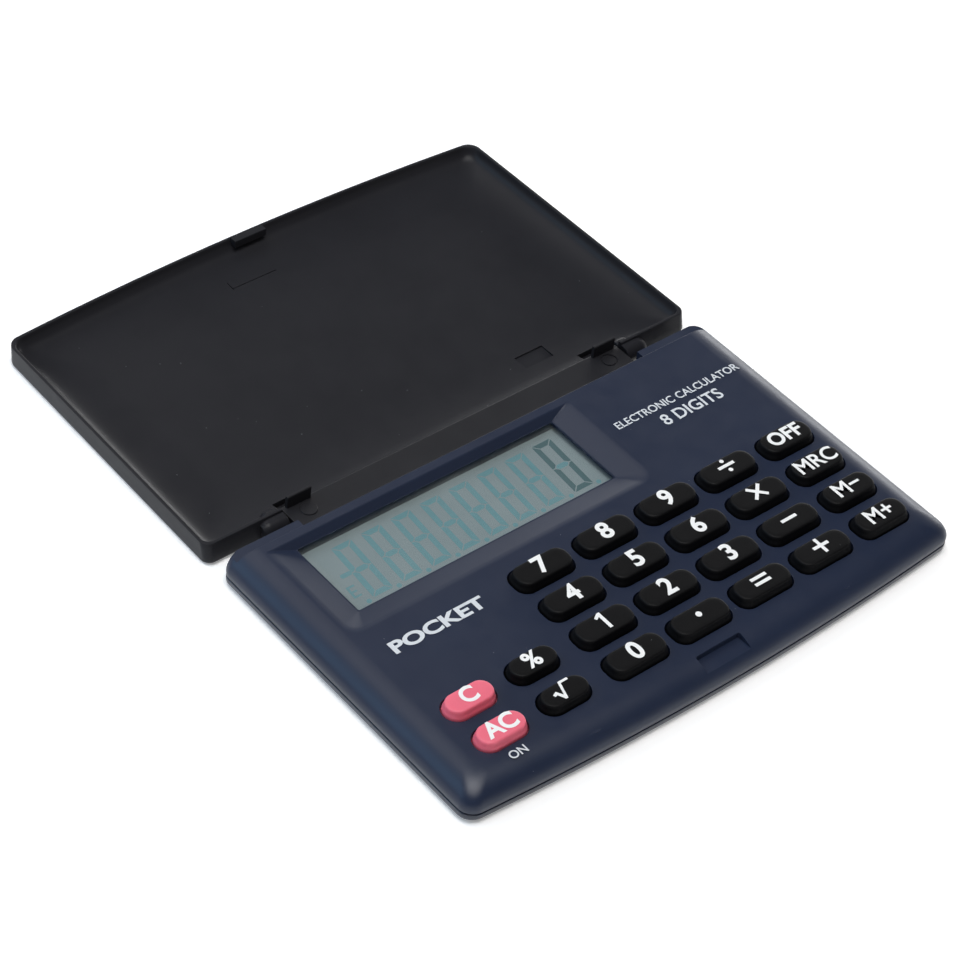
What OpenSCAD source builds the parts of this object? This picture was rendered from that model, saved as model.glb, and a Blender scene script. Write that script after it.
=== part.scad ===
// Folding pocket calculator: a slim keypad case, a hinge plate with two axes and a dished hard cover.
// Millimetres. +X runs along the hinge, +Y points from the front edge to the cover, +Z is up.
// The origin is on the desk, under the middle of the keypad case. The cover lies open, flat on the desk.

/* [Case] */
// Length of the case along the hinge
case_l = 93.5; // [93:0.1:95]
// Depth of the case, front edge to hinge ledge
case_d = 58.2; // [58:0.1:59]
// Height of the keypad face above the desk
case_h = 5.8; // [5.7:0.1:6]
// Height of the joint between the two case halves
part_z = 1.9; // [1.8:0.05:2]
// Height at which the case's sides start to round over
shoulder_z = 2.6; // [2.4:0.1:2.8]
// How far the front edge bows out between its corners
front_bow = 1.9; // [1:0.1:2.5]
// Corner radius of the case in plan
corner_r = 2.5; // [2:0.5:4]
// Width of the rounded shoulder around the keypad face
shoulder_w = 5; // [4:0.5:5.5]
// Wall thickness of the case halves
wall = 1.2; // [1:0.1:1.3]

/* [Hinge] */
// Height of the case axis of the hinge
case_axis_z = 2.8; // [2.7:0.1:2.8]
// Height of the cover axis of the hinge, with the cover open flat
cover_axis_z = 1.8; // [1.7:0.1:1.8]
// Distance between the two axes, along Y
axis_pitch = 4.9; // [4.9:0.05:5]
// Diameter of the stub pins moulded on the hinge plate
pin_d = 1.4; // [1.2:0.1:1.5]
// Radial running clearance of the stub pins
pin_play = 0.05; // [0.03:0.01:0.1]
// Length of the hinge plate
plate_l = 65.4; // [60:0.1:66]

/* [Cover] */
// Height of the cover's rim, open flat
rim_h = 3.8; // [3.5:0.1:3.8]
// Distance from the cover's hinge wall to its far rim
cover_d = 55.9; // [55.4:0.1:56.2]
// Corner radius of the cover in plan
cover_r = 2; // [1.5:0.5:3]
// Thickness of the cover's flat middle
cover_t = 1; // [0.8:0.1:1.2]
// Width of the sloping border inside the cover
dish_w = 9.5; // [8:0.5:12]

/* [Keys] */
// Distance between key columns
key_dx = 12.12; // [12:0.01:12.2]
// Distance between key rows
key_dy = 6.8; // [6.7:0.05:6.9]
// Length of a rectangular key where it leaves the case
key_l = 10.5; // [9:0.1:10.6]
// Width of a rectangular key where it leaves the case
key_w = 4.9; // [4.5:0.1:5]
// Length of the keys of the right-hand column
key_end_l = 9.8; // [9:0.1:10]
// Length of an oval key
oval_l = 8.6; // [8:0.1:9]
// Width of an oval key
oval_w = 4.5; // [4:0.1:4.6]
// Height of the key tops above the keypad face
key_rise = 1.35; // [1:0.05:1.5]
// Distance that a key travels when it is pressed
key_travel = 0.7; // [0.5:0.1:0.7]
// Gap between a key and its opening
key_gap = 0.25; // [0.15:0.01:0.3]

/* [Display] */
// Length of the display opening
window_l = 48.2; // [46:0.1:48.4]
// Width of the display opening
window_w = 14.6; // [13.5:0.1:14.6]
// Place of the middle of the display opening along X
window_x = -12.8; // [-13:0.1:-12.5]
// Place of the middle of the display opening along Y
window_y = 17.1; // [16.9:0.1:17.1]

/* [Inside] */
// Diameter of the button cell
cell_d = 11.6; // [11:0.1:11.6]
// Thickness of the button cell
cell_t = 3.05; // [2.5:0.05:3.1]
// Thickness of the circuit board
board_t = 0.8; // [0.6:0.1:0.8]
// Diameter of the case screws' shanks
screw_d = 1.5; // [1.4:0.1:1.7]

/* [Hidden] */

// One key: its node's name, place as column and row, and shape.
// Columns -2 and -1 hold the ovals, which stand a little apart from the rectangular keys.
KEYS = [
    ["key_7", 0, 0, "plain"], ["key_8", 1, 0, "plain"], ["key_9", 2, 0, "plain"],
    ["key_divide", 3, 0, "plain"], ["key_off", 4, 0, "end"],
    ["key_4", 0, 1, "plain"], ["key_5", 1, 1, "plain"], ["key_6", 2, 1, "plain"],
    ["key_multiply", 3, 1, "plain"], ["key_mrc", 4, 1, "end"],
    ["key_c", -2, 2, "oval"], ["key_percent", -1, 2, "oval"],
    ["key_1", 0, 2, "plain"], ["key_2", 1, 2, "plain"], ["key_3", 2, 2, "plain"],
    ["key_minus", 3, 2, "plain"], ["key_m_minus", 4, 2, "end"],
    ["key_ac", -2, 3, "oval"], ["key_root", -1, 3, "oval"],
    ["key_0", 0, 3, "plain"], ["key_point", 1, 3, "plain"], ["key_equals", 2, 3, "plain"],
    ["key_plus", 3, 3, "plain"], ["key_m_plus", 4, 3, "end"]];

$fn = 48;
// Thickness of the thin slices that a hull joins, and the reach of a cut past a face
slice = 0.01;
past = 1;

// Plan
front_y = -29;
rear_y = front_y + case_d;
ridge_y = rear_y - 2.1;
ledge_z = case_h - 1.1;
bow_steps = 12;
shoulder_steps = 5;

// Hinge
case_axis_y = rear_y - 1.7;
cover_axis_y = case_axis_y + axis_pitch;
plate_gap = 0.4;
notch_l = plate_l + 2 * plate_gap;
notch_y = case_axis_y - 2.2;
barrel_r = 1.5;
plate_top = case_axis_z + 0.2;
plate_low = 1;
plate_far = cover_axis_y + 1.7;
knuckle_r = 1.7;
knuckle_l = 4.2;
boss_r = 1.2;
boss_l = 2.6;
fin_l = 4.3;
fin_t = 0.55;
fin_h = 2.2;
fin_x = 29.8;
fin_y = plate_far - 0.3 - fin_t;
fin_room = 4.1;
disc_d = 2.7;
disc_x = -29.3;
groove_d = 2.8;
groove_w = 0.3;
groove_x = 29.5;
mark_y = case_axis_y + 4;
mark_h = 0.15;
pin_l = 2.6;
bore_l = 3;

// Cover
cover_y = cover_axis_y - 0.2;
cover_l = case_l - 0.2;
cover_wall = 0.8;
near_lean = 0.7;
skin = 0.3;
hook_l = 6.1;
hook_w = 1.5;
hook_y = cover_y + cover_d - 2;
hook_rise = 0.4;
recess_l = hook_l + 2.4;
recess_w = hook_w + 1.6;
recess_y = front_y + 2.45;
recess_floor = ledge_z - 0.5;
panel_size = [5.6, 3];
panel_x = 18.9;
panel_y = 38.8;
panel_depth = 0.2;

// Heights inside the case
floor_t = 1;
inner_top = case_h - wall;
board_z = 1.3;
sheet_z = board_z + board_t;
sheet_t = 0.4;
dome_h = 0.45;
flange_z = sheet_z + sheet_t + dome_h + key_travel + 0.1;
flange_t = 0.7;
flange_w = 0.55;
joint_gap = 0.12;
pad_top = part_z - 0.05;
cavity_inset = 1.5;
cavity_rear = notch_y - 1;

// Display: a basin slopes down to the opening, and the pane is bonded to the opening's underside
basin_z = case_h - 1.1;
frame_t = 0.5;
pane_t = 0.4;
pane_z = basin_z - frame_t - pane_t - 0.05;
glass_t = 0.5;
front_glass_z = pane_z - glass_t - 0.05;
rear_glass_z = front_glass_z - glass_t;
reflector_t = 0.1;
pane_lap = 1;
rear_lap = 0.1;
window_left = window_x - window_l / 2;
window_front = window_y - window_w / 2;
window_rear = window_front + window_w;
basin_x = window_x - 0.2;
basin_l = window_l + 8.8;
basin_front = window_front - 4.1;
basin_rear = window_rear + 1.2;
basin_r = 2.5;

// Keys
key_x0 = -11.35;
key_y0 = 0.1;
oval_dx = 11.4;
oval_x0 = key_x0 - 1.65;
oval_dy = 0.2;
key_top = case_h + key_rise;
key_r = 1.9;

// Cell and board
cell_x = 33;
cell_y = 16.6;
cell_z = 1.2;
cell_r = cell_d / 2;
cell_play = 0.15;
board_l = 80.6;
board_x = 0.5;
board_front = -23.4;
board_rear = 10.4;
chip_x = 21.5;
chip_y = 7.6;
capacitor = [1.6, 0.8, 0.8];
capacitor_y = 6.4;
rib_x = [-30, -10, 10, 30];
rib_l = 26;
rib_t = 0.8;
cell_wall = 0.9;
cell_wall_h = 2.1;
strip_y = 9.5;
strip_w = 1.4;
strip_l = 42;

// Screws, two near the front edge and one in each rear corner
screw_front_x = 24;
screw_rear_x = 42.8;
screw_front = -25.5;
screw_rear = 20.6;
boss_d = 3.2;
head_d = 2.6;
head_t = 0.8;
head_z = 0.2;

SCREWS = [for (side = [-1, 1], p = [[screw_front_x, screw_front], [screw_rear_x, screw_rear]])
    [side * p.x, p.y]];

// Place of a key's middle from its column and row
function key_x(col) = col < 0 ? oval_x0 + col * oval_dx : key_x0 + col * key_dx;
function key_y(key) = key_y0 - key[2] * key_dy + (key[3] == "oval" ? oval_dy : 0);
function key_size(shape) = shape == "oval" ? [oval_l, oval_w] : [shape == "end" ? key_end_l : key_l, key_w];
function key_corner(shape) = shape == "oval" ? oval_w / 2 : key_r;

// Rounded rectangle about the origin, made of squares and circles so that its corners stay true arcs.
// Its ends keep a short straight piece even where the radius asks for half its width.
module pill(size, r) {
    q = min(r, size.y / 2 - 0.02);
    square([size.x - 2 * q, size.y], center = true);
    square([size.x, size.y - 2 * q], center = true);
    for (x = [-1, 1], y = [-1, 1])
        translate([x * (size.x / 2 - q), y * (size.y / 2 - q)]) circle(q);
}

// Plan of the case, its sides and bowed front drawn in by `inset`, its rear edge left where it is
module case_plan(inset, rear = rear_y) {
    half = case_l / 2 - inset;
    front = [for (i = [-bow_steps : bow_steps])
        let (t = i / bow_steps) [half * t, front_y + inset + front_bow * t * t]];
    offset(r = corner_r, $fn = 32) offset(delta = -corner_r)
        polygon(concat(front, [[half, rear], [-half, rear]]));
}

// Plan of the cover, drawn in by `inset` on all sides and by `lean` more on the hinge side,
// its far edge bowed like the case's front
module cover_plan(inset, lean = 0) {
    half = cover_l / 2 - inset;
    near = cover_y + inset + lean;
    far = cover_y + cover_d - inset;
    edge = [for (i = [bow_steps : -1 : -bow_steps])
        let (t = i / bow_steps) [half * t, far - front_bow * t * t]];
    offset(r = cover_r, $fn = 32) offset(delta = -cover_r)
        polygon(concat(edge, [[-half, near], [half, near]]));
}

// Solid from `low` up to `top`, its sides and front rounded over across `round_w`
module shoulder_form(inset, round_w, low, top, rear) {
    hull() {
        translate([0, 0, low]) linear_extrude(slice) case_plan(inset + 0.05, rear);
        for (i = [0 : shoulder_steps])
            let (a = 90 * i / shoulder_steps)
                translate([0, 0, shoulder_z + (top - shoulder_z - slice) * sin(a)])
                    linear_extrude(slice) case_plan(inset + round_w * (1 - cos(a)), rear);
    }
}

// Space for the hinge plate in the rear of the case, open behind and below
module hinge_notch() {
    translate([-notch_l / 2, notch_y, -past])
        cube([notch_l, rear_y - notch_y + past, inner_top + past]);
    translate([-notch_l / 2, ridge_y, -past])
        cube([notch_l, rear_y - ridge_y + past, case_h + 2 * past]);
}

// Bores for the plate's stub pins, one in each end wall of the notch, split by the case joint
module case_pin_bores() {
    for (side = [-1, 1])
        translate([side * notch_l / 2, case_axis_y, case_axis_z]) rotate([0, side * 90, 0])
            translate([0, 0, -past]) cylinder(d = pin_d + 2 * pin_play, h = bore_l + past);
}

module upper_case() {
    color("#2d3246") difference() {
        union() {
            difference() {
                shoulder_form(0, shoulder_w, part_z, case_h, rear_y);
                difference() {
                    shoulder_form(cavity_inset, 0.6 * shoulder_w, part_z - past, inner_top, cavity_rear);
                    // Thicker block around the display
                    translate([window_x, window_y, inner_top + pane_z])
                        cube([window_l + 2 * pane_lap + 4, window_w + 6, 2 * inner_top], center = true);
                }
                // Room for the display, under its thinner frame
                translate([window_left - pane_lap, window_front - pane_lap, part_z - past])
                    cube([window_l + 2 * pane_lap, window_w + pane_lap + rear_lap,
                        basin_z - frame_t - part_z + past]);
            }
            // Screw bosses
            for (p = SCREWS)
                translate([p.x, p.y, part_z]) cylinder(d = boss_d, h = inner_top - part_z + 0.1);
        }
        // Basin that slopes down to the display opening
        hull() {
            for (side = [-1, 1]) {
                translate([basin_x + side * (basin_l / 2 - basin_r), basin_front + basin_r, case_h])
                    cylinder(r = basin_r, h = slice, $fn = 32);
                translate([basin_x + side * (basin_l / 2 - 0.5), basin_rear - 0.5, case_h])
                    cylinder(r = 0.5, h = slice, $fn = 32);
            }
            translate([window_x, window_y, basin_z])
                cube([window_l + 0.3, window_w + 0.3, slice], center = true);
        }
        translate([window_left, window_front, part_z]) cube([window_l, window_w, case_h]);
        // Openings for the keys
        for (key = KEYS)
            translate([key_x(key[1]), key_y(key), part_z])
                linear_extrude(case_h)
                    pill(key_size(key[3]) + 2 * [key_gap, key_gap], key_corner(key[3]) + key_gap);
        // Ledges that take the cover's rim
        translate([-case_l, ridge_y, ledge_z]) cube([2 * case_l, case_d, case_h]);
        // Recess for the cover's hook
        translate([0, recess_y, recess_floor]) linear_extrude(case_h) pill([recess_l, recess_w], 0.4);
        for (p = SCREWS)
            translate([p.x, p.y, 0]) cylinder(d = screw_d, h = inner_top - 0.4);
        hinge_notch();
        case_pin_bores();
    }
}

module lower_case() {
    color("#20242f") difference() {
        union() {
            difference() {
                hull() {
                    linear_extrude(slice) case_plan(1.1, rear_y - 1.1);
                    translate([0, 0, 0.35]) linear_extrude(slice) case_plan(0.4, rear_y - 0.4);
                    translate([0, 0, 0.9])
                        linear_extrude(part_z - joint_gap - 0.9) case_plan(0, rear_y);
                }
                translate([0, 0, floor_t]) linear_extrude(part_z) case_plan(cavity_inset, cavity_rear);
            }
            // Pads under the screw heads
            for (p = SCREWS)
                translate([p.x, p.y, floor_t / 2]) cylinder(d = boss_d + 0.6, h = pad_top - floor_t / 2);
            // Ribs that carry the circuit board
            for (x = rib_x)
                translate([x - rib_t / 2, board_front + 2, floor_t / 2])
                    cube([rib_t, rib_l, board_z - floor_t / 2]);
            // Broken ring wall around the button cell
            difference() {
                translate([cell_x, cell_y, floor_t / 2])
                    cylinder(r = cell_r + cell_wall, h = cell_wall_h);
                translate([cell_x, cell_y, 0]) cylinder(r = cell_r + cell_play, h = past + cell_t);
                translate([cell_x - 3.2, cell_y - 2 * cell_r, floor_t]) cube([6.4, 2 * cell_r, cell_t]);
                translate([cell_x, cell_y - 4.5, floor_t]) cube([2 * cell_r, 7, cell_t]);
            }
        }
        for (p = SCREWS) {
            translate([p.x, p.y, -past]) cylinder(d = head_d + 0.3, h = past + head_z + head_t);
            translate([p.x, p.y, 0]) cylinder(d = screw_d + 0.3, h = case_h);
        }
        hinge_notch();
        case_pin_bores();
    }
}

module display_window() {
    color("#c8d6d6", 0.4)
        translate([window_left - pane_lap + 0.1, window_front - pane_lap + 0.1, pane_z])
            cube([window_l + 2 * pane_lap - 0.2, window_w + pane_lap + rear_lap - 0.2, pane_t]);
}

// Glass plate of the liquid crystal display, from `front` to the display's rear edge
module glass_plate(front, z) {
    translate([window_left - pane_lap + 0.2, front, z])
        cube([window_l + 2 * pane_lap - 0.4, window_rear - 0.05 - front, glass_t]);
}

module lcd_front_glass() {
    color("#8ca5a5") glass_plate(window_front - pane_lap + 0.2, front_glass_z);
}

module lcd_rear_glass() {
    color("#7f9696") glass_plate(strip_y + strip_w / 2 + 0.2, rear_glass_z);
}

module lcd_reflector() {
    front = strip_y + strip_w / 2 + 0.4;
    color("silver") translate([window_left, front, rear_glass_z - reflector_t])
        cube([window_l, window_rear - 0.2 - front, reflector_t]);
}

// Rubber connector between the board and the front glass's contact edge
module zebra_strip() {
    color("#c96a8c") translate([window_x - strip_l / 2, strip_y - strip_w / 2, sheet_z])
        cube([strip_l, strip_w, front_glass_z - sheet_z]);
}

module contact_sheet() {
    sheet_l = board_l - 2;
    sheet_w = 27.6;
    color("#b9bcc0") {
        translate([board_x - sheet_l / 2, board_front + 0.4, sheet_z]) cube([sheet_l, sheet_w, sheet_t]);
        for (key = KEYS)
            translate([key_x(key[1]), key_y(key), sheet_z + sheet_t - 0.05])
                cylinder(d1 = 4.4, d2 = 3.2, h = dome_h + 0.05);
    }
}

module circuit_board() {
    color("#2f6b3c") translate([board_x - board_l / 2, board_front, board_z])
        cube([board_l, board_rear - board_front, board_t]);
}

// Chip under a drop of resin, a cap cut from a sphere
module calculator_chip() {
    cap_r = 2.6;
    cap_h = 0.9;
    ball_r = (cap_r * cap_r + cap_h * cap_h) / (2 * cap_h);
    color("#15151a") intersection() {
        translate([chip_x, chip_y, sheet_z + cap_h - ball_r]) sphere(ball_r, $fn = 64);
        translate([chip_x, chip_y, sheet_z]) cylinder(r = cap_r + 1, h = cap_h + 1);
    }
}

module board_capacitors() {
    color("tan")
        for (x = [27.6, 40])
            translate([x, capacitor_y, sheet_z]) cube(capacitor);
}

module button_cell() {
    rim = 0.35;
    color("#c9ccd1") translate([cell_x, cell_y, cell_z]) {
        cylinder(r = cell_r - 0.9, h = rim, $fn = 96);
        translate([0, 0, rim]) cylinder(r = cell_r, h = cell_t - rim, $fn = 96);
    }
}

// Spring finger that bears on the cell's side, with its foot on the board
module cell_contact_plus() {
    finger_x = cell_x + cell_r;
    color("#d8c27a") {
        translate([finger_x, cell_y - 1.5, sheet_z + 0.15]) cube([0.15, 3, 1.7]);
        translate([finger_x, board_rear - 2, sheet_z]) cube([0.15, cell_y + 1.5 - board_rear + 2, 0.6]);
        translate([finger_x - 2, board_rear - 2, sheet_z]) cube([2, 1.6, 0.15]);
    }
}

// Strip that lies under the cell, with its end soldered to the board's underside
module cell_contact_minus() {
    color("#d8c27a") {
        translate([cell_x - 1.5, board_rear - 2, floor_t])
            cube([3, cell_y + 2 - board_rear + 2, cell_z - floor_t]);
        translate([cell_x - 1.5, board_rear - 2, cell_z]) cube([3, 1.6, board_z - cell_z]);
    }
}

module case_screws() {
    color("#9a9da2")
        for (p = SCREWS)
            translate([p.x, p.y, head_z]) difference() {
                union() {
                    cylinder(d = head_d, h = head_t);
                    cylinder(d = screw_d, h = inner_top - 0.6 - head_z);
                }
                for (turn = [0, 90])
                    rotate(turn) translate([-0.8, -0.15, -past]) cube([1.6, 0.3, past + 0.35]);
            }
}

// Cross-section of the hinge plate in Y and Z: a slab with a barrel along its case edge
module plate_section() {
    translate([case_axis_y, case_axis_z]) circle(barrel_r);
    polygon([[case_axis_y, plate_low + 0.35], [cover_axis_y - 3, plate_low], [plate_far - 0.6, plate_low],
        [plate_far, plate_low + 0.5], [plate_far, plate_top - 0.4], [plate_far - 0.4, plate_top],
        [case_axis_y, plate_top]]);
}

module hinge_plate() {
    color("#26272c") difference() {
        union() {
            rotate([90, 0, 90]) linear_extrude(plate_l, center = true) plate_section();
            // Stub pins, two into the case and two into the cover
            for (side = [-1, 1]) {
                translate([side * plate_l / 2, case_axis_y, case_axis_z]) rotate([0, side * 90, 0])
                    translate([0, 0, -past]) cylinder(d = pin_d, h = pin_l + past);
                translate([side * plate_l / 2, cover_axis_y, cover_axis_z]) rotate([0, side * 90, 0])
                    translate([0, 0, -past]) cylinder(d = pin_d, h = pin_l + past);
            }
            // Upright fins at the cover edge, which fill the cover's notches when it is shut
            for (side = [-1, 1])
                translate([side * fin_x - fin_l / 2, fin_y, plate_top - 0.5])
                    cube([fin_l, fin_t, fin_h + 0.5]);
            // Raised disc at the left end
            translate([disc_x, mark_y, plate_top - mark_h]) cylinder(d = disc_d, h = 2 * mark_h);
        }
        // Shallow ring at the right end
        translate([groove_x, mark_y, plate_top - mark_h]) difference() {
            cylinder(d = groove_d, h = past);
            translate([0, 0, -past]) cylinder(d = groove_d - 2 * groove_w, h = 3 * past);
        }
    }
}

module cover_shell() {
    color("#1d1d22") difference() {
        union() {
            difference() {
                // Outside: flat back with a rounded edge, upright wall that leans back on the hinge side
                hull() {
                    linear_extrude(slice) cover_plan(1.2, near_lean / 2);
                    translate([0, 0, 0.3]) linear_extrude(slice) cover_plan(0.3, near_lean / 3);
                    translate([0, 0, 0.9]) linear_extrude(slice) cover_plan(0);
                    translate([0, 0, rim_h - slice]) linear_extrude(slice) cover_plan(0, near_lean);
                }
                // Inside: a dish whose border climbs gently to a thin rim
                hull() {
                    translate([0, 0, cover_t]) linear_extrude(slice) cover_plan(dish_w);
                    translate([0, 0, 1.45]) linear_extrude(slice) cover_plan(4.2);
                    translate([0, 0, 2.1]) linear_extrude(slice) cover_plan(2, near_lean / 2);
                    translate([0, 0, 2.9]) linear_extrude(slice) cover_plan(cover_wall + 0.1, near_lean);
                    translate([0, 0, rim_h + past]) linear_extrude(slice) cover_plan(cover_wall, near_lean);
                }
            }
            // Hook inside the middle of the far rim
            translate([-hook_l / 2, hook_y, rim_h - 0.9])
                cube([hook_l, hook_w, hook_rise + 0.9]);
            // Knuckles beside the hinge plate, each with a boss behind it
            for (side = [-1, 1])
                translate([side * notch_l / 2, cover_axis_y, cover_axis_z]) rotate([0, side * 90, 0]) {
                    cylinder(r = knuckle_r, h = knuckle_l);
                    translate([0, knuckle_r, 0]) cylinder(r = boss_r, h = boss_l);
                }
        }
        // Room for the hinge plate
        translate([-notch_l / 2, cover_axis_y - 2.5, -past])
            cube([notch_l, plate_far + 0.3 - cover_axis_y + 2.5, rim_h + 2 * past]);
        // Blind rooms for the fins
        for (side = [-1, 1])
            translate([side * fin_x - fin_l / 2 - 0.3, cover_axis_y, skin])
                cube([fin_l + 0.6, fin_room, rim_h]);
        // Bores for the stub pins
        for (side = [-1, 1])
            translate([side * notch_l / 2, cover_axis_y, cover_axis_z]) rotate([0, side * 90, 0])
                translate([0, 0, -past]) cylinder(d = pin_d + 2 * pin_play, h = bore_l + past);
        // Shallow rectangular panel in the floor
        translate([panel_x, panel_y, cover_t - panel_depth]) cube([panel_size.x, panel_size.y, past]);
    }
}

// Key: a flange that stays under the case, and a cap that leaves it and is rounded over
module key(size, r) {
    top = key_top - slice;
    neck_top = case_h - 0.3;
    translate([0, 0, flange_z]) linear_extrude(flange_t) pill(size + 2 * [flange_w, flange_w], r);
    translate([0, 0, flange_z]) linear_extrude(neck_top - flange_z) pill(size, r);
    hull() {
        translate([0, 0, neck_top - slice]) linear_extrude(slice) pill(size, r, $fn = 32);
        translate([0, 0, top - 0.4]) linear_extrude(slice) pill(size - [0.6, 0.6], r - 0.2, $fn = 32);
        translate([0, 0, top - 0.12]) linear_extrude(slice) pill(size - [0.9, 0.9], r - 0.3, $fn = 32);
        translate([0, 0, top]) linear_extrude(slice) pill(size - [1.5, 1.5], r - 0.5, $fn = 32);
    }
}

upper_case();
lower_case();
display_window();
lcd_front_glass();
lcd_rear_glass();
lcd_reflector();
zebra_strip();
contact_sheet();
circuit_board();
calculator_chip();
board_capacitors();
button_cell();
cell_contact_plus();
cell_contact_minus();
case_screws();
hinge_plate();
cover_shell();
for (k = KEYS)
    color(k[0] == "key_c" || k[0] == "key_ac" ? "#e8798f" : "#17171a")
            translate([key_x(k[1]), key_y(k), 0]) key(key_size(k[3]), key_corner(k[3]));
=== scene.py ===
import math

import bmesh
import bpy
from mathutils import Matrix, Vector


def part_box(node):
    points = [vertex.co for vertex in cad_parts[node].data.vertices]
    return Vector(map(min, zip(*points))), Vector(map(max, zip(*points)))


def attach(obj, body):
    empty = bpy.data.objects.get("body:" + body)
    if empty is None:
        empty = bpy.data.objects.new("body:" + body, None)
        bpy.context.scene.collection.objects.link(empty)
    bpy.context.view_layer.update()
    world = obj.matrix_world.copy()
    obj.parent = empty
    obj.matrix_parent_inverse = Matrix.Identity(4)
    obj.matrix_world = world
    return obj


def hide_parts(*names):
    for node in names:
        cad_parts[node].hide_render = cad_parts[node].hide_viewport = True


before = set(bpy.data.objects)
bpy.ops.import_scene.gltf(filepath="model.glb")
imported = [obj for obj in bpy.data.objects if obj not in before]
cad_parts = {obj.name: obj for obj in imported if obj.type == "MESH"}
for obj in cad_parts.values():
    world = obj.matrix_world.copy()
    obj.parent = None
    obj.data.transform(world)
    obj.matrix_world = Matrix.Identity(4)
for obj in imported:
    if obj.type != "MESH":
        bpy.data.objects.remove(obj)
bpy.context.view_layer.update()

# ---------------------------------------------------------------- upper case
# The upper half of the keypad case is a thin shell of injection-moulded ABS, dyed navy in the mass, with
# a satin spark-eroded face. It is moulded in one shot with its key openings, the basin round the display,
# the ledges for the cover's rim, the recess for the cover's hook, the screw bosses and the hinge bores.
MM = 0.001
CASE_BOW = 1.9  # how far the middle of the near edge stands out beyond its ends
CORNER = 2.5
FAR_CORNER = 1.8
SHELL_WALL = 1.5
REAR_WALL = 24.3  # where the cavities of both case halves end
JOINT = 1.9  # height of the joint between the case halves
SHOULDER = 2.6  # height at which the walls begin to round over
SHOULDER_WIDE = 5
ROOF = 4.6  # underside of the face
RIDGE = 27.1  # rear edge of the face, where it drops to the ledges
LEDGE = 4.7
NOTCH_HALF = 33.1  # room for the hinge plate, from the middle to its side
NOTCH_FRONT = 25.3
LIP = 0.08  # radius of the lips round the openings
KEY_GAP = 0.15


def corner_of(node, end):
    """Lowest (0) or highest (1) corner of a CAD node, in mm."""
    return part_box(node)[end] / MM


def plan(half, near, far, bow=CASE_BOW, corner=CORNER, far_corner=FAR_CORNER, steps=28, turns=9):
    """Plan of a case half in mm: straight sides, bowed near edge, round corners."""
    slope = 2 * bow / half
    lean = math.hypot(1, slope)
    across = half - corner
    up = near + bow - slope * corner + corner * lean
    reach = across + corner * slope / lean
    edge = [reach * i / steps for i in range(-steps, steps + 1)]
    points = [(x, near + bow * (x / half) ** 2) for x in edge]
    start = math.atan(slope) - math.pi / 2
    near_turn = [start * (1 - k / turns) for k in range(1, turns + 1)]
    far_turn = [math.pi / 2 * k / turns for k in range(turns + 1)]
    right = [(across + corner * math.cos(a), up + corner * math.sin(a)) for a in near_turn]
    side, top = half - far_corner, far - far_corner
    right += [(side + far_corner * math.cos(a), top + far_corner * math.sin(a)) for a in far_turn]
    return points + right + [(-x, y) for x, y in reversed(right)]


def rounded(wide, deep, radius, middle=(0, 0), turns=8):
    """Rounded rectangle in mm, as a ring of points."""
    radius = min(radius, deep / 2 - 0.02, wide / 2 - 0.02)
    points = []
    for quarter, (sx, sy) in enumerate([(1, -1), (1, 1), (-1, 1), (-1, -1)]):
        for k in range(turns + 1):
            a = math.radians(-90 + 90 * quarter + 90 * k / turns)
            points.append((middle[0] + sx * (wide / 2 - radius) + radius * math.cos(a),
                           middle[1] + sy * (deep / 2 - radius) + radius * math.sin(a)))
    return points


def level(points, z):
    """Ring of points at one height."""
    return [(x, y, z) for x, y in points]


def upright(points, x):
    """Ring of points given as (y, z), in the plane across the hinge at x."""
    return [(x, y, z) for y, z in points]


def disc(radius, middle, count=32):
    """Circle in mm, as a ring of points."""
    turn = 2 * math.pi / count
    return [(middle[0] + radius * math.cos(turn * k), middle[1] + radius * math.sin(turn * k))
            for k in range(count)]


def solid(name, rings):
    """Closed mesh through rings of equally many points in mm, its first and last ring capped."""
    shape = bmesh.new()
    rows = [[shape.verts.new([c * MM for c in point]) for point in ring] for ring in rings]
    for low, high in zip(rows, rows[1:]):
        for i, corner in enumerate(low):
            j = (i + 1) % len(low)
            shape.faces.new((corner, low[j], high[j], high[i]))
    shape.faces.new(rows[0][::-1])
    shape.faces.new(rows[-1])
    bmesh.ops.recalc_face_normals(shape, faces=shape.faces)
    mesh = bpy.data.meshes.new(name)
    shape.to_mesh(mesh)
    shape.free()
    piece = bpy.data.objects.new(name, mesh)
    bpy.context.scene.collection.objects.link(piece)
    return piece


def block(low, high):
    """Box between two corners, as a tool to cut or join with."""
    ring = [(low[0], low[1]), (high[0], low[1]), (high[0], high[1]), (low[0], high[1])]
    return solid("tool", [level(ring, low[2]), level(ring, high[2])])


def post(radius, middle, low, high, count=32):
    """Upright cylinder, as a tool to cut or join with."""
    ring = disc(radius, middle, count)
    return solid("tool", [level(ring, low), level(ring, high)])


def settle(piece):
    """Replaces a piece's mesh by what its modifiers make of it."""
    graph = bpy.context.evaluated_depsgraph_get()
    mesh = bpy.data.meshes.new_from_object(piece.evaluated_get(graph))
    piece.modifiers.clear()
    piece.data = mesh
    return piece


def shape_with(piece, operation, tools):
    """Cuts tools out of a piece or joins them to it, and clears the tools away."""
    for tool in tools:
        step = piece.modifiers.new("step", "BOOLEAN")
        step.operation = operation
        step.solver = "EXACT"
        step.object = tool
    settle(piece)
    for tool in tools:
        bpy.data.objects.remove(tool)
    return piece


def soften(piece, angle=32):
    """Smooth shading over curved faces that leaves flat faces flat."""
    piece.data.shade_smooth()
    piece.data.set_sharp_from_angle(angle=math.radians(angle))
    weigh = piece.modifiers.new("weigh", "WEIGHTED_NORMAL")
    weigh.keep_sharp = True
    return settle(piece)


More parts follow.
